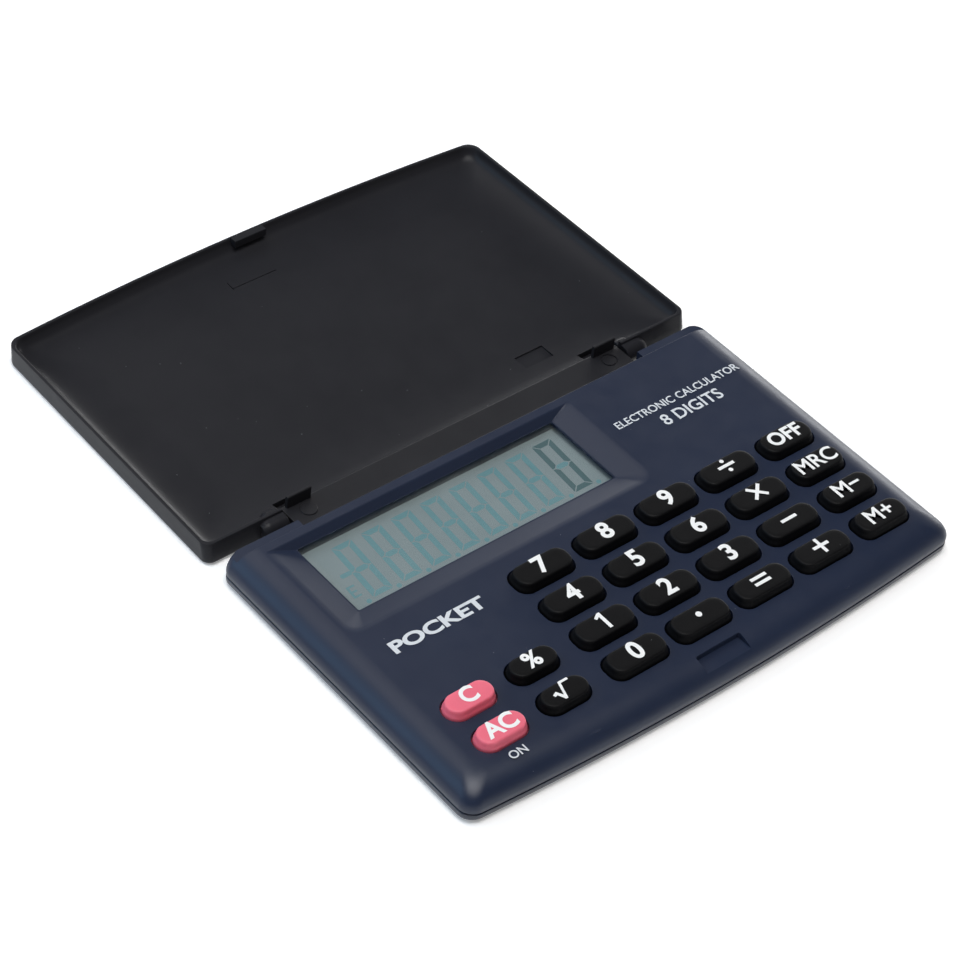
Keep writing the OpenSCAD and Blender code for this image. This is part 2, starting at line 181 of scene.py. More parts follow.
def opening(ring_at, low, face):
    """Tool that cuts an opening with a rounded lip; ring_at(grow) is its outline grown by that much."""
    rings = [level(ring_at(0), low)]
    for k in range(5):
        a = math.pi / 2 * k / 4
        rings.append(level(ring_at(LIP * (1 - math.cos(a))), face - LIP + LIP * math.sin(a)))
    rings.append(level(ring_at(LIP), face + 2))
    return solid("tool", rings)


class Tone:
    """A socket of a material's nodes. Sums and products of tones add Math nodes."""

    def __init__(self, tree, socket):
        self.tree = tree
        self.socket = socket

    def node(self, kind, settings=None, links=None, output=0):
        made = self.tree.nodes.new(kind)
        for name, value in (settings or {}).items():
            if name == "stops":
                stops = made.color_ramp.elements
                for spot, colour in value[1:-1]:
                    stops.new(spot).color = colour
                for stop, (spot, colour) in ((stops[0], value[0]), (stops[-1], value[-1])):
                    stop.position, stop.color = spot, colour
            else:
                setattr(made, name, value)
        for name, value in (links or {}).items():
            if isinstance(value, Tone):
                self.tree.links.new(value.socket, made.inputs[name])
            else:
                made.inputs[name].default_value = value
        return Tone(self.tree, made.outputs[output])

    def maths(self, operation, first, second):
        return self.node("ShaderNodeMath", {"operation": operation}, {0: first, 1: second})

    def __add__(self, other):
        return self.maths("ADD", self, other)

    def __sub__(self, other):
        return self.maths("SUBTRACT", self, other)

    def __rsub__(self, other):
        return self.maths("SUBTRACT", other, self)

    def __mul__(self, other):
        return self.maths("MULTIPLY", self, other)

    def __lt__(self, other):
        return self.maths("LESS_THAN", self, other)

    def __gt__(self, other):
        return self.maths("GREATER_THAN", self, other)

    __radd__ = __add__
    __rmul__ = __mul__

    def noise(self, size, detail=2.0):
        """Smooth random values whose features are about `size` mm across."""
        scale = 1 / (size * MM)
        return self.node("ShaderNodeTexNoise", None, {"Vector": self, "Scale": scale, "Detail": detail})

    def spots(self, spacing):
        """Distance to the nearest of random points about `spacing` mm apart, as a share of that spacing."""
        return self.node("ShaderNodeTexVoronoi", None, {"Vector": self, "Scale": 1 / (spacing * MM)})

    def between(self, low, high):
        """Colour that runs from low to high as this value runs from 0 to 1."""
        colours = {"Factor": self, 6: low, 7: high}
        return self.node("ShaderNodeMix", {"data_type": "RGBA"}, colours, 2)

    def relief(self, depth):
        """Surface that stands `depth` mm proud where this value is 1."""
        return self.node("ShaderNodeBump", None, {"Height": self, "Distance": depth * MM, "Strength": 1.0})


def new_material(name, constants=None):
    """Empty material, the tone of its Object coordinates, and its shader's inputs."""
    material = bpy.data.materials.new(name)
    material.use_nodes = True
    tree = material.node_tree
    tree.nodes.clear()
    shader = tree.nodes.new("ShaderNodeBsdfPrincipled")
    output = tree.nodes.new("ShaderNodeOutputMaterial")
    tree.links.new(shader.outputs[0], output.inputs[0])
    place = tree.nodes.new("ShaderNodeTexCoord")
    for socket, value in (constants or {}).items():
        shader.inputs[socket].default_value = value
    return material, Tone(tree, place.outputs["Object"]), shader.inputs


def moulded(name, dark, light, gloss, grain=0.16, depth=0.006, dust=0.35, constants=None):
    """Moulded plastic or rubber: cloudy colour, a fine eroded grain, and a little dust lying on it."""
    material, place, inputs = new_material(name, constants)
    cloud = place.noise(11, 3.0)
    pebble = place.noise(grain, 2.0)
    colour = (cloud * 0.8 + pebble * 0.4 - 0.1).between(dark, light)
    mote = (place.spots(2.3) < 0.028) * (place.noise(4.0) > 0.52) * dust
    place.tree.links.new(mote.between(colour, (0.55, 0.58, 0.62, 1)).socket, inputs["Base Color"])
    rub = place.noise(3.2, 4.0)
    place.tree.links.new((rub * 0.14 + pebble * 0.08 + (gloss - 0.11)).socket, inputs["Roughness"])
    place.tree.links.new((pebble + mote * 2.0).relief(depth).socket, inputs["Normal"])
    return material


def fit(piece, material, body, slot, *nodes):
    """Gives a finished piece its material and its place in the frame."""
    piece.data.materials.clear()
    piece.data.materials.append(material)
    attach(piece, body)
    if nodes:
        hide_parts(*nodes)
    return piece


navy_plastic = moulded("navy plastic", (0.0085, 0.0145, 0.036, 1), (0.0145, 0.023, 0.051, 1), 0.37,
                        constants={"Specular IOR Level": 0.4})

case_low = corner_of("upper_case", 0)
case_high = corner_of("upper_case", 1)
CASE_HALF = case_high.x
CASE_FRONT = case_low.y
CASE_REAR = case_high.y
FACE = case_high.z
PANE_BORDER = 0.9  # how far the pane reaches under its frame
pane_low = corner_of("display_window", 0)
pane_high = corner_of("display_window", 1)
WINDOW_LEFT = pane_low.x + PANE_BORDER
WINDOW_RIGHT = pane_high.x - PANE_BORDER
WINDOW_NEAR = pane_low.y + PANE_BORDER
WINDOW_FAR = pane_high.y
BASIN = 4.7  # height of the basin's foot, round the display opening
OVAL_WIDEST = 9.2  # a key's cap narrower than this is an oval
CAP_CORNER = 1.9
KEY_SPREAD = 0.55  # how far a key's hidden flange stands out
KEYS = [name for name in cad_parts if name.startswith("key_")]


def key_place(name):
    """Middle and size of a key's cap in mm, from its CAD node's box."""
    low, high = corner_of(name, 0), corner_of(name, 1)
    wide = high.x - low.x - 2 * KEY_SPREAD
    deep = high.y - low.y - 2 * KEY_SPREAD
    radius = deep / 2 if wide < OVAL_WIDEST else CAP_CORNER
    return ((low.x + high.x) / 2, (low.y + high.y) / 2), wide, deep, radius


def case_form(name, inset, wide, low, top, far, steps=16):
    """Body with straight sides that rounds over to a flat top, drawn in by `inset`."""
    def ring(draw, z):
        return level(plan(CASE_HALF - inset - draw, CASE_FRONT + inset + draw, far), z)
    rings = [ring(0.16, low), ring(0.05, low + 0.1)]
    for k in range(steps + 1):
        a = math.pi / 2 * k / steps
        rings.append(ring(wide * (1 - math.cos(a)), SHOULDER + (top - SHOULDER) * math.sin(a)))
    return solid(name, rings)


upper_case = case_form("upper_case_shell", 0, SHOULDER_WIDE, JOINT, FACE, CASE_REAR)
cavity = case_form("tool", SHELL_WALL, 0.6 * SHOULDER_WIDE, JOINT - 1, ROOF, REAR_WALL, 6)
display_wall = block((WINDOW_LEFT - 3, WINDOW_NEAR - 3, pane_low.z),
                     (WINDOW_RIGHT + 3, WINDOW_FAR + 3, 9))
shape_with(cavity, "DIFFERENCE", [display_wall])
display_room = block((WINDOW_LEFT - 1, WINDOW_NEAR - 1, JOINT - 1),
                     (WINDOW_RIGHT + 1, WINDOW_FAR + 0.1, BASIN - 0.5))
shape_with(upper_case, "DIFFERENCE", [cavity, display_room])

SCREW_PLACES = [(24, -25.5), (42.8, 20.6)]  # on the right; the left side mirrors them
POST_RADIUS = 1.6
THREAD_BORE = 0.75
screw_posts = [(side * x, y) for side in (-1, 1) for x, y in SCREW_PLACES]
shape_with(upper_case, "UNION", [post(POST_RADIUS, place, JOINT, ROOF + 0.3) for place in screw_posts])

SLOPE_LEFT = 4.45  # widths of the basin's four slopes
SLOPE_RIGHT = 4.05
SLOPE_NEAR = 3.95
SLOPE_FAR = 1.15


def basin_ring(share, z):
    """Outline of the sloping basin, from the display opening (0) to its upper edge (1)."""
    left = WINDOW_LEFT - 0.15 - share * SLOPE_LEFT
    right = WINDOW_RIGHT + 0.15 + share * SLOPE_RIGHT
    near = WINDOW_NEAR - 0.15 - share * SLOPE_NEAR
    far = WINDOW_FAR + 0.05 + share * SLOPE_FAR
    wide, deep = right - left, far - near
    middle = ((left + right) / 2, (near + far) / 2)
    sharp = rounded(wide, deep, 0.15 + 0.45 * share, middle)
    soft = rounded(wide, deep, 0.15 + 2.35 * share, middle)
    return level([s if s[1] < middle[1] else p for s, p in zip(soft, sharp)], z)


# share of the slope and height, up the basin's wall and over its rounded edge
basin_steps = [(0, BASIN - 0.02), (0.03, BASIN), (0.8, 5.6), (0.88, 5.67), (0.95, 5.73), (1.02, 5.775),
               (1.1, FACE)]
basin = solid("tool", [basin_ring(*step) for step in basin_steps] + [basin_ring(1.1, FACE + 2)])


window_middle = ((WINDOW_LEFT + WINDOW_RIGHT) / 2, (WINDOW_NEAR + WINDOW_FAR) / 2)
window_ring = rounded(WINDOW_RIGHT - WINDOW_LEFT, WINDOW_FAR - WINDOW_NEAR, 0.25, window_middle, 4)
window_cut = solid("tool", [level(window_ring, JOINT), level(window_ring, FACE + 1)])

BEHIND = 34  # clear of the case's rear edge, for tools that cut through it
ledge_profile = [(RIDGE + 0.1, LEDGE), (RIDGE, LEDGE + 0.1), (RIDGE, FACE - 0.2),
                 (RIDGE - 0.03, FACE - 0.1), (RIDGE - 0.1, FACE - 0.03), (RIDGE - 0.2, FACE),
                 (RIDGE - 0.2, FACE + 1), (BEHIND, FACE + 1), (BEHIND, LEDGE)]
ledge_cut = solid("tool", [upright(ledge_profile, -60), upright(ledge_profile, 60)])
notch_profile = [(NOTCH_FRONT, -1), (NOTCH_FRONT, ROOF), (RIDGE, ROOF), (RIDGE, 7), (31, 7), (31, -1)]


def notch_cut():
    """Tool that cuts the room for the hinge plate."""
    return solid("tool", [upright(notch_profile, -NOTCH_HALF), upright(notch_profile, NOTCH_HALF)])


CASE_AXIS = (27.5, 2.8)  # y and z of the hinge axis in the case
PIN_BORE = 0.75


def pin_bores(axis):
    """Tools that bore both ends of a hinge axis for the plate's pins."""
    ring = disc(PIN_BORE, axis)
    return [solid("tool", [upright(ring, side * (NOTCH_HALF - 1)), upright(ring, side * (NOTCH_HALF + 3))])
            for side in (-1, 1)]


def key_opening(name):
    """Tool that cuts the opening round a key's cap."""
    middle, wide, deep, radius = key_place(name)

    def outline(grow):
        size = 2 * (KEY_GAP + grow)
        return rounded(wide + size, deep + size, radius + KEY_GAP + grow, middle)
    return opening(outline, JOINT, FACE)


RECESS_WIDE = 8.5
RECESS_DEEP = 3.1
RECESS_CORNER = 0.4
RECESS_FLOOR = 4.7
RECESS_MIDDLE = (0, -26.55)


def recess_outline(grow):
    """Outline of the recess that the cover's hook snaps into."""
    return rounded(RECESS_WIDE + 2 * grow, RECESS_DEEP + 2 * grow, RECESS_CORNER + grow, RECESS_MIDDLE)


hook_recess = opening(recess_outline, RECESS_FLOOR, FACE)
shape_with(upper_case, "DIFFERENCE", [
    basin, window_cut, ledge_cut, hook_recess, notch_cut(), *pin_bores(CASE_AXIS),
    *[key_opening(name) for name in KEYS],
    *[post(THREAD_BORE, place, 0, ROOF - 0.4) for place in screw_posts]])
soften(upper_case)
fit(upper_case, navy_plastic, "case", "case_upper", "upper_case")

# ---------------------------------------------------------------- lower case
# The lower half is a shallow tray of the same ABS in a darker batch. Four screws draw it up to the upper
# half, and it carries the circuit board on ribs and the button cell in a broken ring wall.
tray_plastic = moulded("tray plastic", (0.007, 0.011, 0.026, 1), (0.012, 0.018, 0.038, 1), 0.36)
FLOOR = 1.0
# how far the wall is drawn in at each height, from the foot up to the joint
tray_steps = [(1.1, 0), (0.8, 0.06), (0.58, 0.17), (0.4, 0.35), (0.18, 0.6), (0.03, 0.9), (0.0, 1.2),
              (0.0, 1.7), (0.08, 1.78)]
lower_case = solid("lower_case_tray", [
    level(plan(CASE_HALF - d, CASE_FRONT + d, CASE_REAR - d), z) for d, z in tray_steps])
tray_plan = plan(CASE_HALF - SHELL_WALL, CASE_FRONT + SHELL_WALL, REAR_WALL)
shape_with(lower_case, "DIFFERENCE", [solid("tool", [level(tray_plan, z) for z in (FLOOR, 4)])])
cell_low, cell_high = corner_of("button_cell", 0), corner_of("button_cell", 1)
cell_middle = ((cell_low.x + cell_high.x) / 2, (cell_low.y + cell_high.y) / 2)
cell_radius = (cell_high.x - cell_low.x) / 2
CELL_PLAY = 0.15  # between the cell and its ring wall
RING_OUTSIDE = 0.9  # from the cell to the outside of the ring wall
RING_TALL = 2.1
x, y = cell_middle
ring_wall = post(cell_radius + RING_OUTSIDE, cell_middle, FLOOR / 2, FLOOR / 2 + RING_TALL, 64)
cell_room = post(cell_radius + CELL_PLAY, cell_middle, 0, 4, 64)
contact_gaps = [block((x - 3.2, y - 12, FLOOR), (x + 3.2, y, 4)),
                block((x, y - 4.5, FLOOR), (x + 12, y + 2.5, 4))]
shape_with(ring_wall, "DIFFERENCE", [cell_room, *contact_gaps])
board_low = corner_of("circuit_board", 0)
RIB_PLACES = (-30, -10, 10, 30)
RIB_HALF = 0.4
ribs = [block((x - RIB_HALF, board_low.y + 2, FLOOR / 2), (x + RIB_HALF, board_low.y + 28, board_low.z))
        for x in RIB_PLACES]
PAD_RADIUS = 1.9
HEAD_BORE = 1.45
SHANK_BORE = 0.9
pads = [post(PAD_RADIUS, place, FLOOR / 2, 1.85) for place in screw_posts]
shape_with(lower_case, "UNION", [ring_wall, *ribs, *pads])
shape_with(lower_case, "DIFFERENCE", [
    notch_cut(), *pin_bores(CASE_AXIS),
    *[post(HEAD_BORE, place, -1, 1) for place in screw_posts],
    *[post(SHANK_BORE, place, 0, 3) for place in screw_posts]])
soften(lower_case)
fit(lower_case, tray_plastic, "case", "case_lower", "lower_case")

# ---------------------------------------------------------------- display
# A clear acrylic pane is bonded under the frame of the display opening. Behind it sits the liquid crystal
# cell: two glass plates with a grey-green polariser, whose electrodes show faintly even where no digit is
# lit.
def refinish(node, material):
    """Gives a CAD node's own solid its real finish."""
    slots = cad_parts[node].data.materials
    slots.clear()
    slots.append(material)


pane, pane_place, pane_inputs = new_material("clear pane", {"Base Color": (0.7, 0.8, 0.8, 1)})
smear = pane_place.noise(9, 3.0)
pane_place.tree.links.new((smear * 0.04 + 0.005).socket, pane_inputs["Alpha"])
pane_place.tree.links.new((pane_place.noise(2.0) * 0.08 + 0.02).socket, pane_inputs["Roughness"])
refinish("display_window", pane)

polariser, film, film_inputs = new_material("polariser", {"Specular IOR Level": 0.3})
mottle = film.noise(6, 3.0) * 0.7 + film.noise(0.25) * 0.3
film_colour = mottle.between((0.155, 0.205, 0.215, 1), (0.20, 0.245, 0.25, 1))
film.tree.links.new(film_colour.socket, film_inputs["Base Color"])
film.tree.links.new((film.noise(1.2) * 0.1 + 0.35).socket, film_inputs["Roughness"])
refinish("lcd_rear_glass", polariser)
refinish("lcd_front_glass", polariser)

glass_low, glass_high = corner_of("lcd_front_glass", 0), corner_of("lcd_front_glass", 1)
glass_middle = ((glass_low.x + glass_high.x) / 2, (glass_low.y + glass_high.y) / 2)
glass_wide = glass_high.x - glass_low.x
glass_deep = glass_high.y - glass_low.y
glass_steps = [(0.1, glass_low.z + 0.025), (0, glass_low.z + 0.1), (0, glass_high.z - 0.08),
               (0.08, glass_high.z)]
front_glass = solid("front_glass_plate", [
    level(rounded(glass_wide - 2 * d, glass_deep - 2 * d, 0.2, glass_middle, 3), z)
    for d, z in glass_steps])
fit(soften(front_glass), pane, "case", "lcd_glass", "lcd_front_glass")

DIGIT_WIDE = 3.6
DIGIT_TALL = 11.2
DIGIT_LEAN = 0.8 / DIGIT_TALL
DIGITS = 8
STROKE = 0.95
PITCH = 5.44
LAST_DIGIT = (WINDOW_RIGHT - 5.87, WINDOW_NEAR + 1.9)  # foot of the right-hand digit
INK_LOW = glass_low.z + 0.005
INK_HIGH = glass_low.z + 0.015
gap = 0.13  # between neighbouring segments
half = STROKE / 2
edge = DIGIT_WIDE
waist = DIGIT_TALL / 2
SEGMENTS = {
    "top": [(gap, DIGIT_TALL), (edge - gap, DIGIT_TALL), (edge - STROKE - gap, DIGIT_TALL - STROKE),
            (STROKE + gap, DIGIT_TALL - STROKE)],
    "foot": [(gap, 0), (STROKE + gap, STROKE), (edge - STROKE - gap, STROKE), (edge - gap, 0)],
    "waist": [(half + gap, waist), (STROKE + gap, waist + half), (edge - STROKE - gap, waist + half),
              (edge - half - gap, waist), (edge - STROKE - gap, waist - half),
              (STROKE + gap, waist - half)],
    "upper right": [(edge, DIGIT_TALL - gap), (edge, waist + gap / 2), (edge - half, waist + gap),
                    (edge - STROKE, waist + half + gap), (edge - STROKE, DIGIT_TALL - STROKE - gap)],
    "lower right": [(edge, gap), (edge - STROKE, STROKE + gap), (edge - STROKE, waist - half - gap),
                    (edge - half, waist - gap), (edge, waist - gap / 2)],
}
for name in ("upper right", "lower right"):
    SEGMENTS[name.replace("right", "left")] = [(edge - x, y) for x, y in SEGMENTS[name]]


def leaned(points, foot):
    """A digit's outline at its foot's place, with the digits' lean."""
    return [(foot[0] + x + y * DIGIT_LEAN, foot[1] + y) for x, y in points]


def flat_shapes(name, outlines, low, high):
    """One mesh of thin flat shapes, each an outline in mm."""
    mesh = bpy.data.meshes.new(name)
    work = bmesh.new()
    for outline in outlines:
        part = solid("part", [level(outline, low), level(outline, high)])
        work.from_mesh(part.data)
        bpy.data.objects.remove(part)
    work.to_mesh(mesh)
    work.free()
    piece = bpy.data.objects.new(name, mesh)
    bpy.context.scene.collection.objects.link(piece)
    return piece


def row_tree():
    """Geometry Nodes that repeat a shape along X and give it a material."""
    tree = bpy.data.node_groups.new("row of like shapes", "GeometryNodeTree")
    sockets = {}
    for label, kind in (("Shape", "Geometry"), ("Count", "Int"), ("Pitch", "Float"),
                        ("Material", "Material")):
        kind = "NodeSocket" + kind
        sockets[label] = tree.interface.new_socket(label, in_out="INPUT", socket_type=kind).identifier
    tree.interface.new_socket("Row", in_out="OUTPUT", socket_type="NodeSocketGeometry")
    kinds = ("NodeGroupInput", "ShaderNodeCombineXYZ", "GeometryNodeMeshLine",
             "GeometryNodeInstanceOnPoints", "GeometryNodeRealizeInstances", "GeometryNodeSetMaterial",
             "NodeGroupOutput")
    given, step, line, place, real, paint, result = [tree.nodes.new(kind) for kind in kinds]
    links = [(given.outputs["Pitch"], step.inputs["X"]),
             (given.outputs["Count"], line.inputs["Count"]),
             (step.outputs[0], line.inputs["Offset"]),
             (line.outputs[0], place.inputs["Points"]),
             (given.outputs["Shape"], place.inputs["Instance"]),
             (place.outputs[0], real.inputs[0]),
             (real.outputs[0], paint.inputs["Geometry"]),
             (given.outputs["Material"], paint.inputs["Material"]),
             (paint.outputs[0], result.inputs[0])]
    for source, target in links:
        tree.links.new(source, target)
    return tree, sockets


ROW, ROW_SOCKETS = row_tree()


def in_a_row(piece, count, pitch, material):
    """Repeats a piece's mesh along X, pitch in mm."""
    row = piece.modifiers.new("row", "NODES")
    row.node_group = ROW
    for label, value in (("Count", count), ("Pitch", pitch * MM), ("Material", material)):
        row[ROW_SOCKETS[label]] = value
    return settle(piece)


def ink(name, dark, light, gloss):
    """Thin print or electrode: even colour with a little mottle."""
    material, place, inputs = new_material(name)
    tone = place.noise(0.5, 2.0) * 0.6 + place.noise(3, 2.0) * 0.4
    place.tree.links.new(tone.between(dark, light).socket, inputs["Base Color"])
    place.tree.links.new((place.noise(0.3) * 0.1 + gloss).socket, inputs["Roughness"])
    return material


faint_ink = ink("faint electrode", (0.065, 0.20, 0.225, 1), (0.09, 0.235, 0.26, 1), 0.3)
lit_ink = ink("lit electrode", (0.012, 0.065, 0.075, 1), (0.02, 0.085, 0.095, 1), 0.3)
DOT = 0.42
DOT_PLACE = (-0.95, -0.2)  # from the foot of the digit to its right
dot_ring = disc(DOT, DOT_PLACE, 12)
first_foot = (LAST_DIGIT[0] - (DIGITS - 1) * PITCH, LAST_DIGIT[1])
faint_outlines = [leaned(outline, first_foot) for outline in SEGMENTS.values()]
ghosts = flat_shapes("faint_digits", faint_outlines + [leaned(dot_ring, first_foot)], INK_LOW, INK_HIGH)
in_a_row(ghosts, DIGITS - 1, PITCH, faint_ink)
fit(ghosts, faint_ink, "case", "lcd_glass")
dash = [(-1.75, 5.4), (-0.15, 5.4), (0.05, 5.8), (-0.15, 6.2), (-1.75, 6.2), (-1.95, 5.8)]
letter_e = [(-2.5, 1.3), (-1.1, 1.3), (-1.1, 1.65), (-2.1, 1.65), (-2.1, 2.3), (-1.3, 2.3), (-1.3, 2.65),
            (-2.1, 2.65), (-2.1, 3.35), (-1.1, 3.35), (-1.1, 3.7), (-2.5, 3.7)]
last_dot = [(x + PITCH, y) for x, y in dot_ring]
marks = [leaned(dash, first_foot), leaned(letter_e, first_foot), leaned(SEGMENTS["waist"], LAST_DIGIT),
         leaned(dot_ring, LAST_DIGIT), leaned(last_dot, LAST_DIGIT)]
fit(flat_shapes("faint_marks", marks, INK_LOW, INK_HIGH), faint_ink, "case", "lcd_glass")
zero = [leaned(outline, LAST_DIGIT) for name, outline in SEGMENTS.items() if name != "waist"]
fit(flat_shapes("lit_digit", zero, INK_LOW, INK_HIGH), lit_ink, "case", "lcd_glass")

# ---------------------------------------------------------------- keys
# Each key is a cap of black or coral silicone rubber on a flange that the case holds in. The cap's sides
# have a draft and its top edge is rounded over; the legend is printed on top in white ink.
black_rubber = moulded("black rubber", (0.0018, 0.0018, 0.0022, 1), (0.0036, 0.0036, 0.0044, 1), 0.48,
                       0.1, 0.008, 0.3, {"Specular IOR Level": 0.12})
coral_rubber = moulded("coral rubber", (0.80, 0.135, 0.20, 1), (0.92, 0.175, 0.25, 1), 0.42,
                       0.14, 0.005, 0.1,
                       {"Subsurface Weight": 0.15, "Subsurface Radius": (0.0006, 0.0002, 0.0002),
                        "Subsurface Scale": 1.0})
KEY_TOP = corner_of(KEYS[0], 1).z
KEY_FOOT = corner_of(KEYS[0], 0).z
FLANGE = 0.7
SHRINK = 0.45  # how much of the cap's draft its corners' radius takes up
CORAL_KEYS = ("key_c", "key_ac")
flange_steps = [(-KEY_SPREAD, KEY_FOOT), (-KEY_SPREAD, KEY_FOOT + FLANGE - 0.05),
                (-KEY_SPREAD + 0.06, KEY_FOOT + FLANGE), (0.02, KEY_FOOT + FLANGE)]
# how far the cap is drawn in at each height below its top
cap_steps = [(0.02, 2.4), (0.05, 1.8), (0.1, 1.35), (0.17, 1.08), (0.27, 0.9), (0.33, 0.6),
             (0.38, 0.35), (0.43, 0.2), (0.5, 0.1), (0.6, 0.045), (0.75, 0.02), (1.2, 0.0)]
for name in KEYS:
    middle, wide, deep, radius = key_place(name)
    rings = []
    for draw, z in flange_steps + [(draw, KEY_TOP - down) for draw, down in cap_steps]:
        corner = radius - SHRINK * max(draw, 0)
        rings.append(level(rounded(wide - 2 * draw, deep - 2 * draw, corner, middle), z))
    coral = name in CORAL_KEYS
    fit(soften(solid(name + "_cap", rings), 50), coral_rubber if coral else black_rubber, name,
        "key_pink" if coral else "key_black", name)

LEGENDS = {"key_7": "7", "key_8": "8", "key_9": "9", "key_off": "OFF",
           "key_4": "4", "key_5": "5", "key_6": "6", "key_mrc": "MRC",
           "key_c": "C", "key_percent": "%", "key_2": "2", "key_3": "3", "key_m_minus": "M−",
           "key_ac": "AC", "key_0": "0", "key_m_plus": "M+"}
white_ink = ink("white ink", (0.86, 0.86, 0.85, 1), (0.94, 0.94, 0.93, 1), 0.45)
INK_THICK = 0.03
INK_SUNK = 0.012  # how much of its thickness the legend sinks into the rubber


def lettering(name, words, tall, middle, z, bold, wide=None):
    """Printed words as a thin mesh, `tall` mm high and centred, and `wide` mm long where that is given."""
    curve = bpy.data.curves.new(name, "FONT")
    curve.body = words
    curve.offset = bold
    curve.extrude = 0.5
    curve.resolution_u = 6
    holder = bpy.data.objects.new(name, curve)
    bpy.context.scene.collection.objects.link(holder)
    graph = bpy.context.evaluated_depsgraph_get()
    mesh = bpy.data.meshes.new_from_object(holder.evaluated_get(graph))
    bpy.data.objects.remove(holder)
    xs = [v.co.x for v in mesh.vertices]
    ys = [v.co.y for v in mesh.vertices]
    centre = ((max(xs) + min(xs)) / 2, (max(ys) + min(ys)) / 2)
    down = tall / (max(ys) - min(ys))
    along = down if wide is None else wide / (max(xs) - min(xs))
    for v in mesh.vertices:
        v.co = Vector(((v.co.x - centre[0]) * along + middle[0],
                       (v.co.y - centre[1]) * down + middle[1],
                       z + (v.co.z + 0.5) * INK_THICK)) * MM
    work = bmesh.new()
    work.from_mesh(mesh)
    bmesh.ops.remove_doubles(work, verts=work.verts, dist=1e-7)
    work.to_mesh(mesh)
    work.free()
    piece = bpy.data.objects.new(name, mesh)
    bpy.context.scene.collection.objects.link(piece)
    return piece


def bar(wide, deep, middle=(0, 0)):
    """Flat rectangle about a middle."""
    x, y = wide / 2, deep / 2
    return [(middle[0] + sx * x, middle[1] + sy * y) for sx, sy in ((-1, -1), (1, -1), (1, 1), (-1, 1))]


def cross(reach, weight, turn=0):
    """Plus sign of that reach and stroke, turned by some degrees."""
    w = weight / 2
    arm = [(w, -reach), (w, -w), (reach, -w)]
    points = []
    for k in range(4):
        a = math.radians(90 * k + turn)
        points += [(x * math.cos(a) - y * math.sin(a), x * math.sin(a) + y * math.cos(a)) for x, y in arm]
    return points


WEIGHT = 0.56  # stroke of the drawn signs
SIGNS = {
    "key_1": [[(-0.02, -1.6), (0.55, -1.6), (0.55, 1.6), (0.08, 1.6), (-0.85, 1.02), (-0.6, 0.58),
               (-0.02, 0.92)]],
    "key_divide": [bar(3.1, WEIGHT), disc(0.36, (0, 1.05), 16), disc(0.36, (0, -1.05), 16)],
    "key_multiply": [cross(1.75, WEIGHT, 45)],
    "key_minus": [bar(3.0, WEIGHT)],
    "key_plus": [cross(1.5, WEIGHT)],
    "key_equals": [bar(3.0, WEIGHT, (0, 0.55)), bar(3.0, WEIGHT, (0, -0.55))],
    "key_point": [disc(0.5, (0, 0), 20)],
    "key_root": [[(-2.0, -0.15), (-1.25, 0.2), (-0.62, -0.85), (0.1, 1.45), (1.75, 1.45), (1.75, 1.05),
                  (0.4, 1.05), (-0.45, -1.6), (-0.85, -1.6), (-1.42, -0.42), (-1.85, -0.55)]],
}
LEGEND_RISE = 0.32  # from the cap's middle to the legend's, up the key


def legend_height(words):
    """Height of a key's lettering in mm."""
    if words.isdigit():
        return 3.3
    return 2.9 if words in ("C", "AC", "%") else 2.75


for name in KEYS:
    x, y = key_place(name)[0]
    y += LEGEND_RISE
    foot = KEY_TOP - INK_SUNK
    title = name.replace("key", "legend", 1)
    if name in SIGNS:
        shapes = [[(x + dx, y + dy) for dx, dy in outline] for outline in SIGNS[name]]
        legend = flat_shapes(title, shapes, foot, foot + INK_THICK)
    else:
        words = LEGENDS[name]
        bold = 0.016 if "M" in words else 0.03
        legend = lettering(title, words, legend_height(words), (x, y), foot, bold)
    fit(legend, white_ink, name, "print_ink")

# ---------------------------------------------------------------- printing on the case
# Four plain words stand on the case's face, beside the display and the keys. They are screen printed in
# pale grey ink, which lies on the satin plastic as a thin film.
grey_ink = ink("grey ink", (0.62, 0.65, 0.68, 1), (0.72, 0.75, 0.78, 1), 0.45)
PRINTS = [("print_kind", "ELECTRONIC CALCULATOR", 1.5, (30.5, 17.15), 25.1, 0.012),
          ("print_digits", "8 DIGITS", 2.3, (30.7, 14.1), None, 0.014),
          ("print_size", "POCKET", 2.4, (-30.1, 0.5), 16.6, 0.035),
          ("print_on", "ON", 1.4, (-36.0, -24.1), 2.9, 0.012)]
INK_CLEAR = 0.002  # keeps the film's underside clear of the face
for name, words, tall, middle, wide, bold in PRINTS:
    fit(lettering(name, words, tall, middle, FACE + INK_CLEAR, bold, wide), grey_ink, "case", "print_ink")

# ---------------------------------------------------------------- hinge plate
# A rigid acetal plate joins case and cover with two axes. A barrel runs along its case edge, stub pins are
# moulded on its ends, and two upright fins close the notches of the cover when it is shut.
plate_plastic = moulded("hinge plastic", (0.012, 0.012, 0.0145, 1), (0.018, 0.018, 0.0215, 1), 0.42,
                         constants={"Specular IOR Level": 0.2})
COVER_AXIS = (32.4, 1.8)  # y and z of the hinge axis in the cover
PLATE_HALF = 32.7
PLATE_TOP = 3.0
BARREL = 1.5
END_ROUND = 0.12  # the plate's ends are rounded off over this length
barrel = [(CASE_AXIS[0] + BARREL * math.cos(math.radians(a)),
           CASE_AXIS[1] + BARREL * math.sin(math.radians(a))) for a in range(20, 280, 10)]
slab = [(28.3, 1.22), (29.4, 1.0), (33.45, 1.0), (33.8, 1.12), (34.02, 1.35), (34.1, 1.65), (34.1, 2.6),
        (34.05, 2.82), (33.9, 2.96), (33.7, PLATE_TOP), (29.5, PLATE_TOP), (29.2, 3.05)]
section = barrel + slab
hub = (sum(y for y, z in section) / len(section), sum(z for y, z in section) / len(section))


